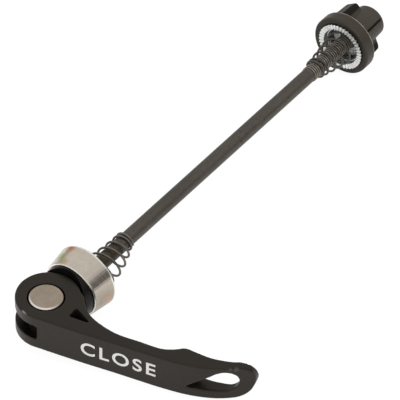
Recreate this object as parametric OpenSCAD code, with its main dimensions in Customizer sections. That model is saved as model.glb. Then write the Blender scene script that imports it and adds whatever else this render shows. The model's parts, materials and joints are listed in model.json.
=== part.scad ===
// Front-wheel quick-release skewer with an external cam, lying as it rests on a table.
// Millimetres, +Z up. The rod lies along Y, lever end at +Y and nut end at -Y.
// The origin is on the rod's axis, midway between the two clamping faces.
// Modules model each piece in the skewer's own frame: the cross pin's centre is the origin,
// +X runs along the rod to the nut and +Z runs along the cross pin. place() lays it down.

/* [Rod] */
// Diameter of the plain shank
rod_d = 4.6; // [4:0.1:5.4]
// Outer diameter of the threaded end
thread_d = 5; // [4.8:0.1:6]
// Length of the threaded end
thread_l = 31; // [20:0.5:45]
// Distance between the two clamping faces, as photographed
clear_l = 121.95; // [100:0.05:160]
// Depth that the rod's end reaches into the nut, from the nut's clamping face
rod_in_nut = 14.6; // [8:0.1:15.5]

/* [Cross pin] */
// Diameter of the cross pin
pin_d = 10; // [8.5:0.1:11]
// How far each end of the pin stands out of the lever's side
pin_proud = 0.2; // [0:0.05:0.6]
// Rounding of the pin's end edges
pin_edge = 0.5; // [0.2:0.05:1]
// Depth of the rod's seat beyond the pin's centre
rod_seat = 3.2; // [1:0.1:3.8]

/* [Lever] */
// Width of the lever along the cross pin
lever_w = 12.2; // [10.5:0.1:16]
// Radius of the round cam head
head_r = 9.3; // [8.5:0.1:11]
// Offset of the cam head's centre from the pin's centre
cam_throw = 0.8; // [0.4:0.05:1.2]
// Width of the slot between the two ears
slot_w = 5.1; // [4.9:0.1:7]
// Room between the rod's side and the straight end of the slot
slot_gap = 0.6; // [0.3:0.1:1.5]
// Angle between the rod and the arm, closed
arm_angle = 77.6; // [70:0.1:95]
// Distance from the pin's centre to the tip of the paddle
lever_l = 64; // [55:0.5:90]
// Thickness of the arm at its middle
arm_t = 3.6; // [3:0.1:6]
// Height of the thumb stop on the arm's inner side
stop_h = 2.2; // [0.5:0.1:4]
// Depth of the triangular pocket in each side
pocket_d = 4; // [1:0.1:5]
// Radius of the round end of the teardrop hole
tear_r = 3.65; // [2:0.05:4.5]
// Length of the teardrop hole, from its point to the centre of its round end
tear_l = 11; // [6:0.1:14]
// Slant of the teardrop hole and of the paddle's end against the arm
slant = 18; // [0:1:22]
// Rounding of the paddle's lower corner, on which the lever lies
low_corner = 5; // [3:0.1:6]
// Rounding of the paddle's upper corner
up_corner = 5.5; // [1:0.1:6]

/* [Clamp cap] */
// Outer diameter of the clamp cap at its clamping face
cap_d = 20.2; // [18:0.1:26]
// Outer diameter of the clamp cap at its open rim
cap_rim_d = 18.1; // [17:0.1:26]
// Length of the clamp cap along the rod
cap_l = 8.2; // [7:0.1:12]
// Thickness of the cap's wall
cap_wall = 0.7; // [0.5:0.05:1.2]
// Depth of the pocket that holds the follower
pocket_l = 4; // [3:0.1:5]
// Depth of the spring recess in the clamping face
cap_recess = 2.2; // [1:0.1:2.5]

/* [Cam follower] */
// Height of the follower's two horns above the cap
horn_h = 3.6; // [1:0.1:4]
// How much larger the saddle's radius is than the cam head's
saddle_extra = 1.8; // [1.5:0.1:3]
// Gap between the closed cam and the saddle
cam_gap = 0.35; // [0.3:0.05:0.6]

/* [Springs] */
// Diameter of the spring wire
wire_d = 0.7; // [0.5:0.05:1]
// Length of the lever-side spring
cap_spring_l = 19.3; // [14:0.1:30]
// Length of the nut-side spring
nut_spring_l = 17.4; // [12:0.1:30]
// Outer diameter of the lever-side spring's large end
cap_spring_d = 12.8; // [9:0.1:13.5]
// Outer diameter of the nut-side spring's large end
nut_spring_d = 11.6; // [9:0.1:12]
// Number of working turns in the lever-side spring
cap_turns = 5; // [3:1:8]
// Number of working turns in the nut-side spring
nut_turns = 5; // [3:1:8]
// Sag of the lever-side spring's middle below the rod
cap_sag = 1.5; // [0:0.05:1.6]
// Sag of the nut-side spring's middle below the rod
nut_sag = 0.5; // [0:0.05:0.6]
// Share by which the lever-side spring's turns crowd towards its small end
cap_crowding = 0.3; // [0:0.05:0.4]
// Lean of the hanging turns, their low side towards the small end
coil_lean = 5; // [0:0.5:7]

/* [Nut] */
// Diameter of the nut's flange
flange_d = 19.7; // [17:0.1:24]
// Thickness of the nut's flange
flange_l = 4.7; // [3:0.1:6]
// Length of the nut from its clamping face to its end
nut_l = 16.8; // [15:0.1:20]
// Outer diameter of the nut's barrel at the flange
barrel_d = 11.5; // [9:0.1:14]
// Taper of the barrel and the wings, per side
barrel_taper = 3; // [0:0.5:5]
// Span across the two wings at the flange
wing_span = 17.3; // [14:0.1:19]
// Thickness of each wing
wing_t = 3.6; // [2:0.1:5]
// Turn of the wings about the rod
wing_turn = 55; // [0:5:180]
// Depth of the recess that takes the nut-side spring
nut_recess = 4.4; // [2:0.1:5.5]

/* [Grip ring] */
// Outer diameter of the toothed grip ring
ring_d = 15.9; // [14:0.1:17]
// Inner diameter of the toothed grip ring
ring_bore = 12.2; // [11:0.1:13]
// Thickness of the grip ring over its teeth
ring_t = 1.5; // [1:0.1:2.5]
// Depth of the teeth
tooth_h = 0.5; // [0.2:0.05:0.8]
// Number of teeth round each clamping face
teeth = 40; // [24:1:60]

/* [Hidden] */

// Running clearance of the hinge, the slides and the thread, per side
running = 0.05;
// Clearance of pieces that are pressed or seated together, per side
snug = 0.02;
// Overlap that makes a cut pass right through a face
through = 1;
// Number of sides of a round piece as drawn on screen
$fn = 96;

rod_r = rod_d / 2;
thread_r = thread_d / 2;
pin_r = pin_d / 2;
cap_r = cap_d / 2;
cap_rim_r = cap_rim_d / 2;
half_w = lever_w / 2;
black = [0.20, 0.19, 0.17];
steel = [0.76, 0.73, 0.68];
dark_steel = [0.30, 0.28, 0.26];
zinc = [0.84, 0.85, 0.84];

// Places along the rod, from the pin's centre
cam_x = cam_throw + head_r;
saddle_x = cam_x + cam_gap;
cap_x = saddle_x + 0.45;
cap_face_x = cap_x + cap_l;
nut_face_x = cap_face_x + clear_l;
rod_end_x = nut_face_x + rod_in_nut;
cap_recess_x = cap_face_x - cap_recess;
// Room round the lever-side spring in the cap's recess
cap_recess_r = cap_spring_d / 2 + 0.6;
nut_recess_x = nut_face_x + nut_recess;

// Centre of a rounded corner of the paddle, at height z along the pin
function corner_s(z, r) = lever_l + (z * sin(slant) - r) / cos(slant);
low_s = corner_s(low_corner - half_w, low_corner);
up_s = corner_s(half_w - up_corner, up_corner);
// The paddle's low corner and the cap's rim both lie on the table, so the skewer leans about its rod
lean = asin((cap_r - half_w) / (low_s * sin(arm_angle)));
origin_x = (cap_face_x + nut_face_x) / 2;

module place() {
    rotate([0, -lean, 0])
        translate([0, origin_x, 0])
            rotate([0, 0, -90])
                children();
}

// A solid turned about the rod from an outline of [place along the rod, radius] points
module turned(outline) {
    rotate([0, 90, 0])
        rotate_extrude()
            polygon([for (p = outline) [p[1], p[0]]]);
}

// A round bar or bore along the rod
module along(from_x, to_x, r) {
    translate([from_x, 0, 0])
        rotate([0, 90, 0])
            cylinder(h = to_x - from_x, r = r);
}

// Radial V grooves across an annular face at face_x; side is the way the face looks
module radial_grooves(face_x, side, inner_r, outer_r) {
    step = 360 / teeth;
    // the crests keep a narrow flat land towards the outer edge
    half = outer_r * sin(step / 2) * 0.8;
    for (i = [0:teeth - 1])
        rotate([i * step, 0, 0])
            translate([face_x, 0, inner_r - through])
                linear_extrude(outer_r - inner_r + 2 * through)
                    polygon([[-side * tooth_h, 0], [side * tooth_h, 2 * half], [side * tooth_h, -2 * half]]);
}

// Catmull-Rom curve through a list of points, with n steps between each pair
function curve_at(a, b, c, d, t) =
    0.5 * (2 * b + (c - a) * t + (2 * a - 5 * b + 4 * c - d) * t * t + (3 * b - a - 3 * c + d) * t * t * t);
function curve(p, n) = concat(
    [for (i = [0:len(p) - 2]) for (k = [0:n - 1])
        curve_at(p[max(i - 1, 0)], p[i], p[i + 1], p[min(i + 2, len(p) - 1)], k / n)],
    [p[len(p) - 1]]);

// Rod: plain shank, threaded end with a lead-in chamfer
module rod() {
    tip_chamfer = 0.6;
    shank_end = rod_end_x - thread_l;
    run_out = thread_r - rod_r;
    color(dark_steel)
        place()
            turned([
                [-rod_seat, 0], [-rod_seat, rod_r], [shank_end - run_out, rod_r], [shank_end, thread_r],
                [rod_end_x - tip_chamfer, thread_r], [rod_end_x, thread_r - tip_chamfer], [rod_end_x, 0]]);
}

// Cross pin: the round barrel on which the lever turns, with the rod's seat across it
module cross_pin() {
    end_z = half_w + pin_proud;
    color(steel)
        place()
            difference() {
                rotate_extrude()
                    polygon(concat(
                        [[0, -end_z]],
                        [for (a = [0:15:90]) [pin_r - pin_edge + pin_edge * sin(a), -end_z + pin_edge * (1 - cos(a))]],
                        [for (a = [90:15:180]) [pin_r - pin_edge + pin_edge * sin(a), end_z - pin_edge * (1 + cos(a))]],
                        [[0, end_z]]));
                along(-rod_seat - snug, pin_r + through, rod_r + snug);
            }
}

// The arm's frame: s runs from the pin to the tip, n is square to it on the nut's side
arm_s = [cos(arm_angle), -sin(arm_angle)];
arm_n = [sin(arm_angle), cos(arm_angle)];
// Stretch of the arm's stations for a lever of another length
arm_k = (lever_l - 14) / 50;
function on_arm(s, n) = (s > 14 ? 14 + (s - 14) * arm_k : s) * arm_s + n * arm_n;

// Inner edge from the neck to beyond the tip, with the thumb stop two thirds along
neck_a = -34;
inner_edge = curve([
    on_arm(9.4, 5.0), on_arm(11.5, 1.8), on_arm(14, -0.6), on_arm(18, arm_t - 6.1),
    on_arm(24, arm_t - 7.5), on_arm(31, arm_t - 7.4), on_arm(37.2, arm_t - 7.25), on_arm(40.7, arm_t - 8.1 + stop_h),
    on_arm(43.4, arm_t - 6.4 + stop_h), on_arm(46.5, -0.7), on_arm(51.5, -0.85), on_arm(56.5, 0.15),
    on_arm(59, 1.2), on_arm(61.5, 2.3), on_arm(66.5, 5)], 4);
// Outer edge from the tip back to the head
outer_edge = curve([
    on_arm(67.5, 3.9), on_arm(64.5, 2), on_arm(62, 0.4), on_arm(59.7, -1.1), on_arm(57, -2.8), on_arm(54, -4.3),
    on_arm(50, -5.6), on_arm(45, -6.6), on_arm(38, -7.2), on_arm(31, -7.45), on_arm(24, -7.7),
    on_arm(16, -8.1), on_arm(8, cam_throw - head_r + 0.15)], 4);
// Round the back of the head the outline stays inside the cam's true round
head_arc = [for (i = [0:12])
    let (a = 180 + 90 - arm_angle - i * (180 + 90 - arm_angle - neck_a) / 12)
    [cam_throw + (head_r - 0.4) * cos(a), (head_r - 0.4) * sin(a)]];
lever_outline = concat(inner_edge, outer_edge, head_arc);

// Lever blank: the side outline and the true round of the cam head
module lever_blank() {
    linear_extrude(lever_w, center = true)
        polygon(lever_outline);
    translate([cam_throw, 0, -half_w])
        cylinder(h = lever_w, r = head_r);
}

function arc(c, r, from, to, n) = [for (i = [0:n])
    let (a = from + i * (to - from) / n) c + r * [cos(a), sin(a)]];

// A bar right through the arm, square to it, from an outline of [s, height] points
module across_arm(outline) {
    rotate([0, 0, -arm_angle])
        translate([0, lever_l, 0])
            rotate([90, 0, 0])
                linear_extrude(2 * lever_l)
                    polygon(outline);
}

// Teardrop: a round end and the two tangents that meet in the point
module teardrop() {
    c = [lever_l - 7.8, 0.6];
    half_point = asin(tear_r / tear_l);
    across_arm(concat(
        [c - tear_l * [cos(slant), sin(slant)]],
        arc(c, tear_r, slant - 90 - half_point, slant + 90 + half_point, 24)));
}

// Lever: forked cam head, arm and paddle
module lever() {
    reach = 2 * lever_l;
    color(black)
        place()
            difference() {
                intersection() {
                    lever_blank();
                    // the paddle's slanted end with its two rounded corners
                    across_arm(concat(
                        [[-lever_l, half_w + through], [-lever_l, -half_w - through], [low_s, -half_w - through]],
                        arc([low_s, low_corner - half_w], low_corner, -90, -slant, 8),
                        arc([up_s, half_w - up_corner], up_corner, -slant, 90, 8),
                        [[up_s, half_w + through]]));
                }
                // bore for the cross pin
                translate([0, 0, -half_w - through])
                    cylinder(h = lever_w + 2 * through, r = pin_r + running);
                // slot for the rod, open round the back of the head
                translate([-reach / 2, -rod_r - slot_gap, -slot_w / 2])
                    cube([reach, reach, slot_w]);
                // triangular pocket in each side
                for (side = [-1, 1])
                    translate([0, 0, side * (half_w + through - (pocket_d + through) / 2)])
                        linear_extrude(pocket_d + through, center = true)
                            polygon([on_arm(9.5, 0), on_arm(9.0, -3.7), on_arm(15.6, -3.6)]);
                teardrop();
            }
}

// Cam follower: plastic disc in the cap with two horns and a concave saddle
module cam_follower() {
    r = cap_rim_r - cap_wall - snug;
    saddle_r = head_r + saddle_extra;
    edge = 0.5;
    color(black * 0.8)
        place()
            difference() {
                turned([
                    [cap_x - horn_h, rod_r + running * 2], [cap_x - horn_h, r - edge], [cap_x - horn_h + edge, r],
                    [cap_x + pocket_l - snug, r], [cap_x + pocket_l - snug, rod_r + running * 2]]);
                translate([saddle_x - saddle_r, 0, -cap_r])
                    cylinder(h = cap_d, r = saddle_r);
            }
}

// Clamp cap: polished steel cup with a follower pocket, a spring recess and a toothed face
module clamp_cap() {
    edge = 0.7;
    inner_r = cap_rim_r - cap_wall;
    color(steel)
        place()
            difference() {
                turned([
                    [cap_x, inner_r], [cap_x, cap_rim_r - edge / 2], [cap_x + edge / 2, cap_rim_r],
                    [cap_face_x - edge, cap_r], [cap_face_x, cap_r - edge],
                    [cap_face_x, cap_recess_r], [cap_recess_x, cap_recess_r],
                    [cap_recess_x, rod_r + running * 2], [cap_x + pocket_l, rod_r + running * 2],
                    [cap_x + pocket_l, inner_r]]);
                radial_grooves(cap_face_x, 1, cap_recess_r, cap_r);
            }
}

// Conical coil spring of round wire about +X, large end at x = 0, small end at x = l.
// A closed turn lies at each end. Between them the turns sag and lean towards the direction down.
module cone_spring(l, big_r, small_r, turns, crowding, sag, down) {
    per_turn = 20;
    sides = 6;
    total = turns + 2;
    steps = total * per_turn;
    run = l - 3 * wire_d;
    // share of the working turns passed, 0 in the large closed turn and 1 in the small one
    function work(u) = min(max((u - 1) / turns, 0), 1);
    function axial(u) = wire_d * (0.5 + min(u, 1) + max(u - total + 1, 0))
        + run * work(u) * (1 + crowding * (1 - work(u)));
    function radial(u) = big_r - wire_d / 2 + (small_r - big_r) * work(u);
    ring = [for (i = [0:steps])
        let (u = i / per_turn, a = 180 + 360 * u, r = radial(u), s = sag * sin(180 * pow(work(u), 0.7)),
            lean = tan(coil_lean) * min(4 * work(u), 4 - 4 * work(u), 1))
        [for (k = [0:sides - 1])
            let (b = 360 * k / sides, q = r + wire_d / 2 * cos(b))
            [axial(u) + lean * r * cos(a - down) + wire_d / 2 * sin(b),
             q * cos(a) + s * cos(down), q * sin(a) + s * sin(down)]]];
    polyhedron(
        points = [for (g = ring) for (p = g) p],
        faces = concat(
            [[for (k = [0:sides - 1]) k]],
            [for (i = [0:steps - 1]) for (k = [0:sides - 1])
                [i * sides + k, (i + 1) * sides + k, (i + 1) * sides + (k + 1) % sides, i * sides + (k + 1) % sides]],
            [[for (k = [0:sides - 1]) steps * sides + sides - 1 - k]]));
}

// Lever-side spring, with its large end in the cap's recess and its middle hanging
module cap_spring() {
    small_r = rod_r + 2 * running + wire_d;
    color(dark_steel)
        place()
            translate([cap_recess_x + snug, 0, 0])
                cone_spring(cap_spring_l, cap_spring_d / 2, small_r, cap_turns, cap_crowding, cap_sag, 235);
}

// Nut-side spring, with its large end in the nut's recess
module nut_spring() {
    small_r = thread_r + 2 * running + wire_d;
    color(dark_steel)
        place()
            translate([nut_recess_x - snug, 0, 0])
                rotate([0, 0, 180])
                    cone_spring(nut_spring_l, nut_spring_d / 2, small_r, nut_turns, 0, nut_sag, 270);
}

// Wing nut: flange, collar, tapered barrel, two flat wings and two grip grooves
module wing_nut() {
    back_x = nut_face_x + flange_l;
    end_x = nut_face_x + nut_l;
    flange_r = flange_d / 2;
    edge = 0.4;
    seat_x = nut_face_x + ring_t;
    collar_r = barrel_d / 2 + 0.7;
    collar_l = 1.3;
    barrel_r = barrel_d / 2;
    barrel_end_r = barrel_r - (nut_l - flange_l) * tan(barrel_taper);
    wing_end = nut_l - 3.9;
    front_x = nut_face_x + tooth_h;
    function wing_r(x) = wing_span / 2 - (x - flange_l) * tan(barrel_taper);
    wing_corner = 1.2;
    color(black)
        place()
            difference() {
                union() {
                    turned([
                        [front_x, ring_d / 2 + snug], [front_x, flange_r - edge],
                        [front_x + edge, flange_r], [back_x - edge, flange_r], [back_x, flange_r - edge],
                        [back_x, collar_r], [back_x + collar_l, collar_r], [back_x + collar_l, barrel_r],
                        [end_x - 0.8, barrel_end_r], [end_x, barrel_end_r - 0.8], [end_x, thread_r + running],
                        [nut_recess_x, thread_r + running], [nut_recess_x, ring_bore / 2 - 0.15],
                        [seat_x, ring_bore / 2 - 0.15], [seat_x, ring_d / 2 + snug]]);
                    for (side = [0, 180])
                        rotate([wing_turn - 90 + side, 0, 0])
                            translate([nut_face_x, wing_t / 2, 0])
                                rotate([90, 0, 0])
                                    linear_extrude(wing_t)
                                        polygon(concat(
                                            [[flange_l - 0.2, collar_r], [flange_l - 0.2, wing_r(flange_l)]],
                                            [for (a = [90:-15:0])
                                                [wing_end - wing_corner * (1 - cos(a)),
                                                 wing_r(wing_end) - wing_corner * (1 - sin(a))]],
                                            [[wing_end + 0.6, barrel_end_r - 1]]));
                }
                // grip grooves down the barrel, square to the wings
                for (side = [0, 180])
                    rotate([wing_turn + side, 0, 0])
                        translate([back_x + collar_l, -0.4, barrel_end_r - 0.5])
                            cube([nut_l, 0.8, 2]);
            }
}

// Grip ring: toothed zinc-plated ring pressed into the nut's face
module grip_ring() {
    color(zinc)
        place()
            difference() {
                turned([
                    [nut_face_x, ring_bore / 2], [nut_face_x, ring_d / 2],
                    [nut_face_x + ring_t - snug, ring_d / 2], [nut_face_x + ring_t - snug, ring_bore / 2]]);
                radial_grooves(nut_face_x, -1, ring_bore / 2, ring_d / 2);
            }
}

rod();
cross_pin();
lever();
cam_follower();
clamp_cap();
cap_spring();
nut_spring();
wing_nut();
grip_ring();
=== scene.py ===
"""Looks of a bicycle quick-release skewer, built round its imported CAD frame.

Shapes are worked out in the skewer's own frame, in millimetres: the cross pin's centre is the
origin, +X runs along the rod to the nut and +Z runs along the cross pin. place() turns a point
of it into the CAD's frame, in metres, in which the skewer leans a little as it lies on a table.
"""

import json
import math

import bmesh
import bpy
from mathutils import Matrix, Vector
from mathutils.bvhtree import BVHTree


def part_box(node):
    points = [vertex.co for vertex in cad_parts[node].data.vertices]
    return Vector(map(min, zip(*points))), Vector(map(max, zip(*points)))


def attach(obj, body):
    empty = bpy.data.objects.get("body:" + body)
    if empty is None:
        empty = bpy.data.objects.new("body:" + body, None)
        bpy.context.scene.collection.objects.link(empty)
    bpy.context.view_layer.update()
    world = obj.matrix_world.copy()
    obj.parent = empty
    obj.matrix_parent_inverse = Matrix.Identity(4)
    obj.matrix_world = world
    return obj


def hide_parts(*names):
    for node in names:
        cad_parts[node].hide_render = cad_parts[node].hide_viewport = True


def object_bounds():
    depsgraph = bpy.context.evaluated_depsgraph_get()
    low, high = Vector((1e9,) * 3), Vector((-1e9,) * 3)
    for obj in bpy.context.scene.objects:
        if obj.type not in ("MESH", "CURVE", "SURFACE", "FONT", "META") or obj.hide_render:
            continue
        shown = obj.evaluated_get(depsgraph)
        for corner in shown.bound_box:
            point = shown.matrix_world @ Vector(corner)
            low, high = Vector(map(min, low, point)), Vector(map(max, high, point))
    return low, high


MM = 0.001
TAU = 2 * math.pi

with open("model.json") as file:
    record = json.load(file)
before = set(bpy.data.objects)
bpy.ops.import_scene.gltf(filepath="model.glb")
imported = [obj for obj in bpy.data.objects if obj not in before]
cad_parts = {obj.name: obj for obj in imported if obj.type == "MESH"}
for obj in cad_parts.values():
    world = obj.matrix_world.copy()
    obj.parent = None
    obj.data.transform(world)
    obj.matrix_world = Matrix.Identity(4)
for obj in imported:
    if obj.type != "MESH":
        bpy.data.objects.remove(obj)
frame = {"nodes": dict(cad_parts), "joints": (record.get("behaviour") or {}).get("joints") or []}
cad_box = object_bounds()
# The hinge turns about the cross pin, so it tells where the pin is and how far the skewer leans
hinge = next(joint for joint in frame["joints"] if joint["name"] == "lever_hinge")
PIN_Y = hinge["pos_m"][1]
LEAN = Matrix.Rotation(-math.atan2(hinge["axis"][0], -hinge["axis"][2]), 3, "Y")


def turn(direction):
    """A direction of the skewer's frame as one of the CAD's frame."""
    x, y, z = direction
    return LEAN @ Vector((y, -x, z))


def place(point):
    """A point of the skewer's frame, in mm, as one of the CAD's frame, in m."""
    return turn(point) * MM + Vector((0, PIN_Y, 0))


def along_rod(y):
    """A place on the rod's axis, from its y in the CAD's frame, as x in the skewer's frame."""
    return (PIN_Y - y) / MM


# Places along the rod, read from the frame
cap_rim_x = along_rod(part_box("clamp_cap")[1].y)
cap_face_x = along_rod(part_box("clamp_cap")[0].y)
nut_face_x = along_rod(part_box("grip_ring")[1].y)
nut_end_x = along_rod(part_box("wing_nut")[0].y)
rod_start_x = along_rod(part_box("rod")[1].y)
rod_end_x = along_rod(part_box("rod")[0].y)

# Sizes that the CAD's solids have too
SHANK_R = 2.3
CREST_R = 2.5
THREAD_L = 31
WIRE_R = 0.35
CAP_RECESS = 2.2
NUT_RECESS = 4.4
RECESS_R = 5.95
RUNNING = 0.05
SNUG = 0.02

# Rolled right-hand M5 x 0.8 thread
PITCH = 0.8
ROOT_R = 2.06
thread_x = rod_end_x - THREAD_L

PIN_CENTRE = (0, 0, 0)

# Directions along the lever's arm and out of its inner face
ARM_ANGLE = math.radians(77.6)
ARM_S = Vector((math.cos(ARM_ANGLE), -math.sin(ARM_ANGLE), 0))
ARM_N = Vector((math.sin(ARM_ANGLE), math.cos(ARM_ANGLE), 0))

# Further from the rod's axis than any round piece reaches
FAR = 20


# Node trees


def rgba(colour):
    """A colour with full opacity."""
    return (*colour, 1)


class NodeTree:
    """The nodes of a material or of the world, with short ways to add and link them."""

    def __init__(self, owner):
        owner.use_nodes = True
        self.nodes = owner.node_tree.nodes
        self.links = owner.node_tree.links

    def feed(self, socket, value):
        """Links another node's output to a socket, or sets the socket to a constant."""
        if isinstance(value, bpy.types.NodeSocket):
            self.links.new(value, socket)
        else:
            socket.default_value = value

    def add(self, kind, inputs=None, **settings):
        """A new node with its properties set and its inputs fed."""
        node = self.nodes.new(kind)
        for key, value in settings.items():
            setattr(node, key, value)
        for socket, value in (inputs or {}).items():
            self.feed(node.inputs[socket], value)
        return node

    def maths(self, operation, *values):
        """The result of an operation on one or two values."""
        node = self.add("ShaderNodeMath", dict(enumerate(values)), operation=operation)
        return node.outputs["Value"]

    def to_range(self, value, low, high, source=(0.3, 0.7), easing="LINEAR"):
        """Maps the source range to the range from low to high, and clamps what lies beyond."""
        limits = {"From Min": source[0], "From Max": source[1], "To Min": low, "To Max": high}
        node = self.add("ShaderNodeMapRange", {"Value": value, **limits}, interpolation_type=easing)
        return node.outputs["Result"]


def empty_tree(owner):
    """The owner's node tree without the nodes that it comes with."""
    tree = NodeTree(owner)
    tree.nodes.clear()
    return tree


class Paint(NodeTree):
    """A material built round one Principled shader, in the coordinates of the piece."""

    def __init__(self, name, colour, metallic, roughness, specular=0.5):
        self.material = bpy.data.materials.new(name)
        super().__init__(self.material)
        self.shader = self.nodes["Principled BSDF"]
        self.colour = rgba(colour)
        self.roughness = roughness
        self.set("Base Color", self.colour)
        self.set("Metallic", metallic)
        self.set("Roughness", roughness)
        self.set("Specular IOR Level", specular)
        self.coordinates = self.add("ShaderNodeTexCoord").outputs["Object"]

    def set(self, socket, value):
        """Feeds an input of the shader."""
        self.feed(self.shader.inputs[socket], value)

    def noise(self, size_mm, detail=3, stretch=(1, 1, 1)):
        """Noise of a given grain, 0 to 1, its scale multiplied by stretch along each axis."""
        mapping = self.add("ShaderNodeMapping", {"Vector": self.coordinates, "Scale": stretch})
        node = self.add("ShaderNodeTexNoise", {
            "Vector": mapping.outputs["Vector"], "Scale": 1 / (size_mm * MM), "Detail": detail})
        return node.outputs["Fac"]

    def near(self, point, reach_mm, inner=0.3, wobble_mm=0.8):
        """Mask that is 1 up to inner times the reach from a point, and 0 beyond the reach."""
        grain_mm = 1.5
        apart = self.add("ShaderNodeVectorMath", {0: self.coordinates, 1: place(point)},
                         operation="DISTANCE")
        wobble = self.maths("MULTIPLY", self.noise(grain_mm, 2), wobble_mm * MM)
        distance = self.maths("ADD", apart.outputs["Value"], wobble)
        return self.to_range(distance, 1, 0, (reach_mm * inner * MM, reach_mm * MM))

    def between(self, value, low_mm, high_mm, soft_mm):
        """Mask that is 1 where a length in m lies between two limits in mm, with soft edges."""
        rise = self.to_range(value, 0, 1, ((low_mm - soft_mm) * MM, (low_mm + soft_mm) * MM))
        fall = self.to_range(value, 1, 0, ((high_mm - soft_mm) * MM, (high_mm + soft_mm) * MM))
        return self.maths("MULTIPLY", rise, fall)

    def band(self, from_x, to_x, inner_r=0, outer_r=FAR, soft=0.15):
        """Mask of what lies between two places along the rod and between two radii about it."""
        x, y, z = self.add("ShaderNodeSeparateXYZ", {"Vector": self.coordinates}).outputs
        square = self.maths("ADD", self.maths("MULTIPLY", x, x), self.maths("MULTIPLY", z, z))
        lengthwise = self.between(y, PIN_Y / MM - to_x, PIN_Y / MM - from_x, soft)
        radial = self.between(self.maths("SQRT", square), inner_r, outer_r, soft)
        return self.maths("MULTIPLY", lengthwise, radial)

    def slab(self, direction, low, high, soft=0.05):
        """Mask between two planes across a direction, counted from the pin's centre."""
        towards = turn(direction)
        start = towards.dot(place(PIN_CENTRE)) / MM
        along = self.add("ShaderNodeVectorMath", {0: self.coordinates, 1: towards},
                         operation="DOT_PRODUCT")
        return self.between(along.outputs["Value"], start + low, start + high, soft)

    def tint(self, mask, colour):
        """Mixes a colour into the base colour where the mask is 1."""
        mix = self.add("ShaderNodeMix", {"Factor": mask, "A": self.colour, "B": rgba(colour)},
                       data_type="RGBA")
        self.colour = mix.outputs["Result"]
        self.set("Base Color", self.colour)

    def mottle(self, size_mm, amount, colour, stretch=(1, 1, 1)):
        """Uneven colour: patches of another colour, up to amount."""
        patches = self.noise(size_mm, stretch=stretch)
        self.tint(self.to_range(patches, 0, amount), colour)

    def uneven_gloss(self, size_mm, spread, stretch=(1, 1, 1)):
        """Roughness that varies by spread to either side."""
        grain = self.noise(size_mm, stretch=stretch)
        low, high = self.roughness - spread, self.roughness + spread
        self.set("Roughness", self.to_range(grain, low, high))

    def bump(self, size_mm, depth_mm, strength, stretch=(1, 1, 1)):
        """Fine relief of the surface."""
        relief = self.add("ShaderNodeBump", {
            "Strength": strength, "Distance": depth_mm * MM,
            "Height": self.noise(size_mm, 2, stretch)})
        self.set("Normal", relief.outputs["Normal"])


# Materials


# Tint of the gloss on the black pieces
WARM = rgba((1.0, 0.88, 0.76))


def satin_black(name, colour, roughness, specular):
    """Black satin finish on die-cast or forged metal."""
    paint = Paint(name, colour, 0.0, roughness, specular)
    paint.set("Specular Tint", WARM)
    paint.mottle(9, 0.45, [c * 1.4 for c in colour])
    paint.uneven_gloss(3, 0.05)
    paint.bump(0.35, 0.02, 0.4)
    return paint


def make_lever_paint():
    """Satin black with light marks on its edges, and painted near-black shade in the fork and round
    the pin.
    """
    paint = satin_black("lever_satin_black", (0.0095, 0.0078, 0.0062), 0.3, 0.3)
    # shade inside the fork of the head
    slot_half, slot_end = 2.65, -3.4
    between_ears = paint.slab((0, 0, 1), -slot_half, slot_half)
    past_end = paint.slab((0, 1, 0), slot_end, FAR)
    paint.tint(paint.maths("MULTIPLY", between_ears, past_end), (0.0012, 0.001, 0.0008))
    # painted shade in the gap round the cross pin, out to where the bore's mouths lie this far from
    # its centre
    mouth_reach = 8.1
    paint.tint(paint.near(PIN_CENTRE, mouth_reach, 0.985, 0), (0.0006, 0.0005, 0.0004))
    # small light grey marks on the edges of the head and at the paddle's tip: place, reach and
    # brightness
    edge_marks = [((-8.22, 1.75, 6.05), 0.6, 0.2), ((-8.33, 1.35, 6.03), 0.6, 0.24),
             ((-8.38, 0.95, 5.93), 0.6, 0.18), ((-8.42, 0.4, 5.84), 0.5, 0.14),
             ((10.1, -56.9, 5.6), 0.8, 0.05), ((11.3, -58.1, 5.4), 1.1, 0.05)]
    for point, reach, lightness in edge_marks:
        paint.tint(paint.near(point, reach, wobble_mm=0.3), (lightness, lightness * 0.95, lightness * 0.86))
    return paint


def make_nut_paint():
    """Satin black that differs from the flange to the barrel and the wings, with painted shade and
    a painted highlight.
    """
    paint = satin_black("nut_satin_black", (0.030, 0.0262, 0.0205), 0.42, 0.28)
    # darker round the grip ring
    paint.tint(paint.band(nut_face_x - 1, nut_face_x + 1.2, 7.5, 9.4), (0.017, 0.015, 0.012))
    # painted shade, darkest on the wings; lighter on the barrel between them
    paint.tint(paint.band(nut_face_x + 5.4, nut_end_x + 1, 6.4), (0.003, 0.0027, 0.002))
    paint.tint(paint.band(nut_face_x + 6, nut_end_x - 0.5, 0, 6.2), (0.044, 0.039, 0.031))
    # painted shade in the barrel's grooves and in its bore
    groove = paint.band(nut_face_x + 6.2, nut_end_x - 1, 0, 4.95, 0.1)
    paint.tint(groove, (0.004, 0.003, 0.002))
    # painted highlight along the flange's rear edge, in patches
    edge = paint.band(nut_face_x + 4.1, nut_face_x + 5.2, 9.05, soft=0.1)
    patches = paint.to_range(paint.noise(1.8), 0.1, 0.9)
    paint.tint(paint.maths("MULTIPLY", edge, patches), (0.36, 0.33, 0.26))
    return paint


def make_follower_paint():
    """Black moulded plastic."""
    paint = Paint("follower_black_plastic", (0.004, 0.0038, 0.0035), 0.0, 0.34, 0.2)
    paint.set("Specular Tint", WARM)
    paint.uneven_gloss(2, 0.06)
    paint.bump(0.25, 0.01, 0.4)
    return paint


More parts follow.
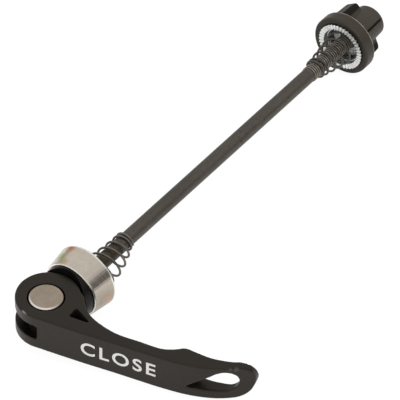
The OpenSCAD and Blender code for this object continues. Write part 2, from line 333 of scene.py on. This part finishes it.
def make_rod_paint():
    """Worn black oxide, with painted highlights on the thread's crests and painted shade in its
    roots.
    """
    paint = Paint("rod_black_oxide", (0.098, 0.086, 0.072), 0.6, 0.4, 0.3)
    paint.mottle(5, 0.6, (0.062, 0.054, 0.045), (1, 0.25, 1))
    paint.mottle(0.9, 0.35, (0.045, 0.039, 0.032), (1, 0.5, 1))
    # small dark pits in the oxide
    pits = paint.to_range(paint.noise(0.8, 1), 0, 0.5, (0.66, 0.72))
    paint.tint(pits, (0.016, 0.013, 0.010))
    # darker and browner along the rod under the spring at the cap
    under_cap_spring = paint.band(cap_face_x - 3, cap_face_x + 13, soft=1.5)
    paint.tint(under_cap_spring, (0.062, 0.048, 0.034))
    # painted highlights on the thread's crests and painted shade in its roots
    crests = paint.band(thread_x, rod_end_x + 1, CREST_R - 0.08, soft=0.05)
    paint.tint(crests, (0.26, 0.235, 0.20))
    roots = paint.band(thread_x, rod_end_x - 0.5, 0, ROOT_R + 0.14, 0.08)
    paint.tint(roots, (0.02, 0.018, 0.015))
    paint.uneven_gloss(1.5, 0.06, (1, 0.2, 1))
    paint.bump(0.3, 0.012, 0.6)
    return paint


def make_wire_paint():
    """Dull spring steel."""
    paint = Paint("spring_wire_steel", (0.20, 0.182, 0.158), 0.8, 0.34)
    # the spring at the nut is the darker one
    paint.tint(paint.band(nut_face_x - 20, nut_face_x + 6), (0.105, 0.097, 0.085))
    paint.mottle(2, 0.6, (0.06, 0.054, 0.047))
    paint.uneven_gloss(0.8, 0.08)
    return paint


def make_pin_paint():
    """Stained turned steel."""
    paint = Paint("pin_turned_steel", (0.38, 0.315, 0.24), 1.0, 0.36)
    paint.mottle(1.6, 0.5, (0.27, 0.22, 0.165))
    paint.uneven_gloss(0.6, 0.08)
    paint.mottle(3.5, 0.35, (0.50, 0.44, 0.36))
    # painted highlight: a bright crescent on one side of the rounded edge, which lies this far from
    # the centre
    edge_reach = 7.76
    edge = paint.maths("SUBTRACT", 1, paint.near(PIN_CENTRE, edge_reach, 0.987, 0))
    edge_highlight = paint.maths("MULTIPLY", edge, paint.near((-4.7, -1, 6), 6.5, 0.5))
    paint.tint(edge_highlight, (0.9, 0.85, 0.78))
    paint.bump(0.3, 0.015, 0.5)
    return paint


def make_cap_paint():
    """Polished steel with a passivated finish."""
    paint = Paint("cap_passivated_steel", (0.68, 0.605, 0.52), 1.0, 0.24)
    paint.mottle(4, 0.4, (0.50, 0.45, 0.38))
    paint.mottle(1.1, 0.3, (0.44, 0.40, 0.34))
    # painted shade low on the near side
    low_side_shade = paint.maths("MULTIPLY", paint.near((cap_rim_x + 4, -9.6, -1), 8), 0.8)
    paint.tint(low_side_shade, (0.38, 0.33, 0.27))
    # the yellow, red and green blush of a passivated finish: place, reach and colour
    blushes = [((cap_rim_x + 6.6, 5.0, 8.6), 2.8, (0.62, 0.25, 0.13)),
               ((cap_rim_x + 3.2, 6.0, 7.5), 2.8, (0.36, 0.40, 0.17)),
               ((cap_rim_x + 1.2, 3.5, 8.6), 2.4, (0.52, 0.42, 0.2)),
               ((cap_rim_x + 4.8, -9.3, -1.5), 2.4, (0.6, 0.34, 0.2))]
    for point, reach, blush in blushes:
        paint.tint(paint.near(point, reach), blush)
    # painted highlights along both rims
    rim_half = 0.22
    for rim_x in (cap_rim_x, cap_face_x - 0.85):
        rim = paint.band(rim_x - rim_half, rim_x + rim_half, 8, soft=0.08)
        paint.tint(rim, (0.95, 0.92, 0.86))
    # fine marks of the lathe run round the cap
    paint.uneven_gloss(1.2, 0.05, (0.3, 4, 0.3))
    paint.bump(0.6, 0.004, 0.4, (0.15, 6, 0.15))
    return paint


def make_ring_paint():
    """Bright zinc plating, with painted shade in its grooves and round its outer edge."""
    paint = Paint("ring_zinc", (0.97, 0.98, 0.96), 0.9, 0.34)
    paint.mottle(0.5, 0.4, (0.60, 0.62, 0.60))
    paint.uneven_gloss(0.5, 0.08)
    # painted shade in the grooves between the teeth and on the bore's wall, and darker round the
    # outer edge
    grooves = paint.band(nut_face_x + 0.43, nut_face_x + 1.2, soft=0.07)
    paint.tint(grooves, (0.22, 0.22, 0.21))
    edge = paint.band(nut_face_x - 1, nut_face_x + 2, 7.78, soft=0.05)
    paint.tint(edge, (0.05, 0.05, 0.047))
    paint.bump(0.25, 0.05, 0.8)
    return paint


def make_liner_paint():
    """Uneven zinc plating in the nut's recess."""
    paint = Paint("recess_zinc", (0.93, 0.95, 0.93), 0.2, 0.34)
    paint.mottle(1.2, 0.6, (0.14, 0.15, 0.15), (1, 0.4, 1))
    paint.uneven_gloss(0.8, 0.1)
    paint.bump(0.9, 0.12, 1.0)
    return paint


def make_print_paint():
    """White print, a little worn."""
    paint = Paint("printed_white", (0.62, 0.61, 0.585), 0.0, 0.5)
    paint.mottle(1.2, 0.25, (0.5, 0.49, 0.47))
    return paint


# Pieces that are modelled here


def smooth_step(t):
    """Eases from 0 to 1 as t goes from 0 to 1."""
    t = min(max(t, 0), 1)
    return t * t * (3 - 2 * t)


def show(piece):
    """Puts an object into the scene."""
    bpy.context.scene.collection.objects.link(piece)
    return piece


def dress(piece, body, paint, smooth_angle=35):
    """Gives a piece its material and its smooth shading, and lets it ride on a body."""
    mesh = piece.data
    mesh.materials.clear()
    mesh.materials.append(paint.material)
    mesh.shade_smooth()
    mesh.set_sharp_from_angle(angle=math.radians(smooth_angle))
    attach(piece, body)
    return piece


def new_piece(name, vertices, faces, body, slot, paint, smooth_angle=35):
    """A mesh piece from points of the skewer's frame, riding on a body."""
    mesh = bpy.data.meshes.new(name)
    mesh.from_pydata([place(v) for v in vertices], [], faces)
    mesh.validate()
    shaped = bmesh.new()
    shaped.from_mesh(mesh)
    bmesh.ops.recalc_face_normals(shaped, faces=shaped.faces)
    shaped.to_mesh(mesh)
    shaped.free()
    piece = show(bpy.data.objects.new(name, mesh))
    return dress(piece, body, paint, smooth_angle)


def tube(rings):
    """Vertices and faces of a closed tube through rings of equal size."""
    size = len(rings[0])
    faces = []
    for i in range(len(rings) - 1):
        for k in range(size):
            j = (k + 1) % size
            faces.append((i * size + k, (i + 1) * size + k, (i + 1) * size + j, i * size + j))
    last = (len(rings) - 1) * size
    faces.append(tuple(range(size))[::-1])
    faces.append(tuple(last + k for k in range(size)))
    return [v for ring in rings for v in ring], faces


def thread_radius(x, angle):
    """Radius of the rolled thread, with flat crests and rounded roots."""
    flank = 0.36
    phase = (x / PITCH + angle / TAU) % 1
    ridge = smooth_step((0.5 - abs(phase - 0.5)) / flank)
    return ROOT_R + (CREST_R - ROOT_R) * ridge


def make_rod(paint):
    """Plain shank and its thread, which runs out on the shank and has a chamfered end."""
    sides = 40
    rows_per_pitch = 8
    lead_in = 0.6
    run_out = 1.2
    run_out_x = thread_x - 0.3
    middle_x = thread_x - 60
    rows = int(THREAD_L / PITCH * rows_per_pitch)
    # a few rows along the shank and many along the thread
    stations = [rod_start_x, middle_x, thread_x - 0.6, run_out_x]
    stations += [thread_x + i * THREAD_L / rows for i in range(rows + 1)]
    rings = []
    for x in stations:
        grown = smooth_step((x - run_out_x) / run_out)
        chamfer = max(0, x - (rod_end_x - lead_in))
        ring = []
        for k in range(sides):
            angle = TAU * k / sides
            radius = SHANK_R + (thread_radius(x, angle) - SHANK_R) * grown
            radius = min(radius, CREST_R - chamfer)
            ring.append((x, radius * math.cos(angle), radius * math.sin(angle)))
        rings.append(ring)
    rod = new_piece("threaded_rod", *tube(rings), "axle", "rod_steel", paint)
    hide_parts("rod")


def make_spring(name, node, body, paint, start_x, way, length, big_r, rod_r, turns, sag,
                crowding, down):
    """Round wire on a sagging cone, with a closed turn at each end, as the CAD's spring is.

    way is +1 for a spring that runs to the nut and -1 for one that runs to the lever, which is
    the same spring turned end for end about the pin's axis. down is the angle about the rod
    towards which the turns hang, and crowding draws them towards the small end.
    """
    per_turn = 44
    sides = 12
    coil_lean = math.tan(math.radians(5))
    sag_skew = 0.7
    total = turns + 2
    small_r = rod_r + 2 * RUNNING + 2 * WIRE_R
    run = length - 6 * WIRE_R
    rings = []
    for i in range(total * per_turn + 1):
        u = i / per_turn
        work = min(max((u - 1) / turns, 0), 1)
        axial = WIRE_R + 2 * WIRE_R * (min(u, 1) + max(u - total + 1, 0))
        axial += run * work * (1 + crowding * (1 - work))
        radius = big_r - WIRE_R + (small_r - big_r) * work
        droop = sag * math.sin(math.pi * work ** sag_skew)
        angle = math.pi + TAU * u
        lean = coil_lean * min(4 * work, 4 - 4 * work, 1) * radius * math.cos(angle - down)
        ring = []
        for k in range(sides):
            around = TAU * k / sides
            r = radius + WIRE_R * math.cos(around)
            x = axial + lean + WIRE_R * math.sin(around)
            y = r * math.cos(angle)
            z = r * math.sin(angle)
            ring.append((start_x + way * x,
                         way * (y + droop * math.cos(down)),
                         z + droop * math.sin(down)))
        rings.append(ring)
    spring = new_piece(name, *tube(rings), body, "spring_wire", paint, 60)
    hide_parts(node)


def make_liner(paint):
    """Thin zinc-plated cup that lines the nut's spring recess, behind the toothed ring."""
    sides = 72
    skin = 0.1
    outer = RECESS_R - 0.01
    hole = CREST_R + 0.35
    mouth = nut_face_x + 1.6
    floor = nut_face_x + NUT_RECESS - 0.001
    profile = [(mouth, outer), (floor, outer), (floor, hole), (floor - skin, hole),
               (floor - skin, outer - skin), (mouth + 0.5, outer - skin), (mouth, outer - 0.3)]
    vertices = [(x, r * math.cos(TAU * k / sides), r * math.sin(TAU * k / sides))
                for k in range(sides) for x, r in profile]
    count = len(profile)
    faces = [(k * count + i, k * count + (i + 1) % count,
              (k + 1) % sides * count + (i + 1) % count, (k + 1) % sides * count + i)
             for k in range(sides) for i in range(count)]
    new_piece("recess_liner", vertices, faces, "nut", "ring_zinc", paint)


# Pieces that are the CAD's solids with their edges broken as in the real ones


def softened(node, name, body, paint, voxel_mm, rounds):
    """A finer copy of a CAD node, smoothed in some rounds, which stands for the node."""
    piece = frame["nodes"][node].copy()
    piece.data = piece.data.copy()
    # without the lean, so that the voxels lie square to the flat faces
    piece.data.transform(LEAN.transposed().to_4x4())
    piece.name = name
    piece.parent = None
    piece.matrix_world = Matrix.Identity(4)
    piece.hide_render = piece.hide_viewport = False
    show(piece)
    remesh = piece.modifiers.new("remesh", "REMESH")
    remesh.mode = "VOXEL"
    remesh.voxel_size = voxel_mm * MM
    relax = piece.modifiers.new("relax", "SMOOTH")
    relax.factor = 0.5
    relax.iterations = rounds
    evaluated = piece.evaluated_get(bpy.context.evaluated_depsgraph_get())
    mesh = bpy.data.meshes.new_from_object(evaluated)
    mesh.transform(LEAN.to_4x4())
    piece.modifiers.clear()
    piece.data = mesh
    dress(piece, body, paint, smooth_angle=40)
    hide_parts(node)
    return piece


def open_bore(lever):
    """Widens both mouths of the lever's bore a little, which leaves a dark gap round the pin."""
    bore_r, mouth_r, reach_r = 5.05, 5.33, 6.5
    face_z, depth, fade = 6.1, 1.0, 0.4
    tolerance = 0.3
    centre, axis = place(PIN_CENTRE), turn((0, 0, 1))
    for vertex in lever.data.vertices:
        apart = vertex.co - centre
        height = apart.dot(axis)
        radial = apart - axis * height
        r = radial.length / MM
        if bore_r - tolerance < r < reach_r:
            wider = mouth_r + (r - bore_r) * (reach_r - mouth_r) / (reach_r - bore_r)
            share = smooth_step((abs(height) / MM - face_z + depth) / fade)
            vertex.co += radial * ((wider / r - 1) * share)


def straighten_back(lever):
    """Draws the lever's outer edge straight from the round of the head to the arm."""
    from_s, to_s = 0.2, 9.0
    bin_mm = 0.3
    reach_mm = 1.2
    centre, along, across = place(PIN_CENTRE), turn(ARM_S), turn(ARM_N)
    bins = int((to_s - from_s) / bin_mm) + 1
    # how far out the edge lies, in steps along the arm
    edge = [0] * (bins + 1)
    moved = []
    for vertex in lever.data.vertices:
        apart = (vertex.co - centre) / MM
        step, n = (apart.dot(along) - from_s) / bin_mm, apart.dot(across)
        if 0 <= step <= bins and n < 0:
            edge[round(step)] = min(edge[round(step)], n)
            moved.append((vertex, step, n))
    for vertex, step, n in moved:
        low = min(int(step), bins - 1)
        outer = edge[low] + (edge[low + 1] - edge[low]) * (step - low)
        straight = edge[0] + (edge[-1] - edge[0]) * step / bins
        share = smooth_step((outer + 2 * reach_mm - n) / reach_mm)
        vertex.co += across * (min(straight - outer, 0) * share * MM)


def print_word(word, lever, side, paint):
    """Prints a word on the arm; side is -1 for the outer face and +1 for the inner one."""
    centre_s = 26
    height_mm = 4.6
    capital_share = 0.7
    spacing, bolder = 1.25, 0.11
    proud, sunk = 0.04, 0.15
    above_face = 30
    name = "word_" + word.lower()
    curve = bpy.data.curves.new(name, "FONT")
    curve.body = word
    curve.size = height_mm / capital_share
    curve.align_x = curve.align_y = "CENTER"
    curve.space_character = spacing
    curve.offset = bolder
    curve.extrude = 0.5
    text = show(bpy.data.objects.new("word_source", curve))
    depsgraph = bpy.context.evaluated_depsgraph_get()
    flat = bpy.data.meshes.new_from_object(text.evaluated_get(depsgraph))
    bpy.data.objects.remove(text)
    surface = BVHTree.FromObject(lever, bpy.context.evaluated_depsgraph_get())
    inward = turn(ARM_N) * -side
    # the letters' fronts stand proud of the arm's face and their backs sink into it
    for vertex in flat.vertices:
        s = centre_s - side * vertex.co.x
        point = place(ARM_S * s + ARM_N * (side * above_face) + Vector((0, 0, vertex.co.y)))
        hit = surface.ray_cast(point, inward)[0]
        depth = sunk if vertex.co.z < 0 else -proud
        vertex.co = hit + inward * (depth * MM)
    flat.name = name
    dress(show(bpy.data.objects.new(name, flat)), "lever", paint)


# Camera, floor, world and lamps


def make_camera():
    """A camera at the photograph's angle, which keeps the pin where the photograph has it."""
    frame_px = 400
    focal_px = 3610.7
    distance_mm = 1015.4
    # where the pin's centre falls in the photograph
    pin_px = (46.47, 312.19)
    view_back = Vector((-0.5297, -0.442, 0.7239))
    view_right = Vector((0.6291, -0.7772, -0.0143))
    view_up = view_back.cross(view_right)
    middle = frame_px / 2
    sight = (view_right * ((middle - pin_px[0]) / focal_px)
             + view_up * ((pin_px[1] - middle) / focal_px) - view_back)
    back = turn(-sight.normalized())
    right = turn(view_up).cross(back).normalized()
    axes = Matrix((right, back.cross(right), back)).transposed().to_4x4()
    camera = show(bpy.data.objects.new("camera", bpy.data.cameras.new("camera")))
    camera.matrix_world = Matrix.Translation(place(view_back * distance_mm)) @ axes
    camera.data.sensor_width = 36
    camera.data.lens = camera.data.sensor_width * focal_px / frame_px
    camera.data.clip_start = 0.05
    camera.data.clip_end = 20
    bpy.context.scene.camera = camera


def make_floor():
    """A white table top that shows white to the camera and keeps a soft shadow."""
    half = 2.5
    level = cad_box[0].z - 0.2 * MM
    corners = [(x * half, y * half, level) for x, y in ((-1, -1), (1, -1), (1, 1), (-1, 1))]
    mesh = bpy.data.meshes.new("floor")
    mesh.from_pydata(corners, [], [(0, 1, 2, 3)])
    material = bpy.data.materials.new("floor_white")
    tree = empty_tree(material)
    ray = tree.add("ShaderNodeLightPath").outputs
    plain = tree.add("ShaderNodeBsdfDiffuse", {"Color": rgba((0.8, 0.8, 0.8))})
    faint = tree.add("ShaderNodeBsdfDiffuse", {"Color": rgba((0.13, 0.13, 0.13))})
    glow = tree.add("ShaderNodeEmission", {"Strength": 0.92})
    seen = tree.add("ShaderNodeAddShader", {0: faint.outputs[0], 1: glow.outputs[0]})
    # in the metal it shows as white less the shade that the object casts there
    mirrored = tree.maths("MULTIPLY", ray["Is Glossy Ray"], 0.35)
    share = tree.maths("MAXIMUM", ray["Is Camera Ray"], mirrored)
    mix = tree.add("ShaderNodeMixShader", {0: share, 1: plain.outputs[0], 2: seen.outputs[0]})
    tree.add("ShaderNodeOutputMaterial", {"Surface": mix.outputs[0]})
    mesh.materials.append(material)
    show(bpy.data.objects.new("floor", mesh))


def make_world():
    """White for the camera; for light and reflections a room that is darker at the horizon."""
    world = bpy.data.worlds.new("studio")
    bpy.context.scene.world = world
    tree = empty_tree(world)
    direction = tree.add("ShaderNodeTexCoord").outputs["Generated"]
    height = tree.add("ShaderNodeSeparateXYZ", {"Vector": direction}).outputs["Z"]
    sky = tree.to_range(height, 0.62, 1.0, (0.05, 0.5), "SMOOTHSTEP")
    # a dark flag beside the camera, which draws the dark streak on the polished cap
    flag_at = Vector((-0.93, -0.34, 0.16)).normalized()
    cosine = tree.add("ShaderNodeVectorMath", {0: direction, 1: flag_at}, operation="DOT_PRODUCT")
    flag = tree.to_range(cosine.outputs["Value"], 1.0, 0.22, (0.86, 0.985), "SMOOTHSTEP")
    # mirrored at its full strength, and three quarters as strong as a light
    ray = tree.add("ShaderNodeLightPath").outputs
    strength = tree.maths("ADD", 0.75, tree.maths("MULTIPLY", ray["Is Glossy Ray"], 0.25))
    room = tree.maths("MULTIPLY", tree.maths("MULTIPLY", sky, flag), strength)
    light = tree.add("ShaderNodeBackground", {"Strength": room})
    shown = tree.add("ShaderNodeBackground", {"Strength": 1.0})
    mix = tree.add("ShaderNodeMixShader", {
        0: ray["Is Camera Ray"], 1: light.outputs[0], 2: shown.outputs[0]})
    tree.add("ShaderNodeOutputWorld", {"Surface": mix.outputs[0]})


def make_lamp(name, direction, distance, size, power):
    """A square soft box that looks at the middle of the skewer."""
    data = bpy.data.lights.new(name, "AREA")
    data.shape = "SQUARE"
    data.size = size
    data.energy = power
    lamp = show(bpy.data.objects.new(name, data))
    # it lights the object without mirroring as a white patch in the polished pieces
    lamp.visible_glossy = False
    towards = Vector(direction).normalized()
    lamp.location = towards * distance
    lamp.rotation_euler = towards.to_track_quat("Z", "Y").to_euler()


make_rod(make_rod_paint())
wire_paint = make_wire_paint()
make_spring("cap_spring_wire", "cap_spring", "cap", wire_paint,
            start_x=cap_face_x - CAP_RECESS + SNUG, way=1, length=19.3, big_r=6.4,
            rod_r=SHANK_R, turns=5, sag=1.5, crowding=0.3, down=math.radians(235))
make_spring("nut_spring_wire", "nut_spring", "nut_spring", wire_paint,
            start_x=nut_face_x + NUT_RECESS - SNUG, way=-1, length=17.4, big_r=5.8,
            rod_r=CREST_R, turns=5, sag=0.5, crowding=0, down=math.radians(270))
lever = softened("lever", "forged_lever", "lever", make_lever_paint(),
                 voxel_mm=0.22, rounds=7)
open_bore(lever)
straighten_back(lever)
softened("wing_nut", "cast_wing_nut", "nut", make_nut_paint(),
         voxel_mm=0.17, rounds=4)
softened("cam_follower", "moulded_follower", "cap", make_follower_paint(),
         voxel_mm=0.2, rounds=3)
softened("cross_pin", "turned_pin", "axle", make_pin_paint(),
         voxel_mm=0.15, rounds=4)
softened("clamp_cap", "turned_cap", "cap", make_cap_paint(),
         voxel_mm=0.16, rounds=2)
softened("grip_ring", "toothed_ring", "nut", make_ring_paint(),
         voxel_mm=0.08, rounds=1)
make_liner(make_liner_paint())
# plain functional words: CLOSE outside and OPEN inside
print_paint = make_print_paint()
print_word("CLOSE", lever, -1, print_paint)
print_word("OPEN", lever, +1, print_paint)

make_camera()
make_floor()
make_world()
make_lamp("key", (-0.5, -0.1, 1.0), distance=1.2, size=0.9, power=8)
make_lamp("fill", (-0.25, 0.9, 0.45), distance=1.2, size=0.8, power=7)

bpy.context.scene.view_settings.view_transform = "Standard"
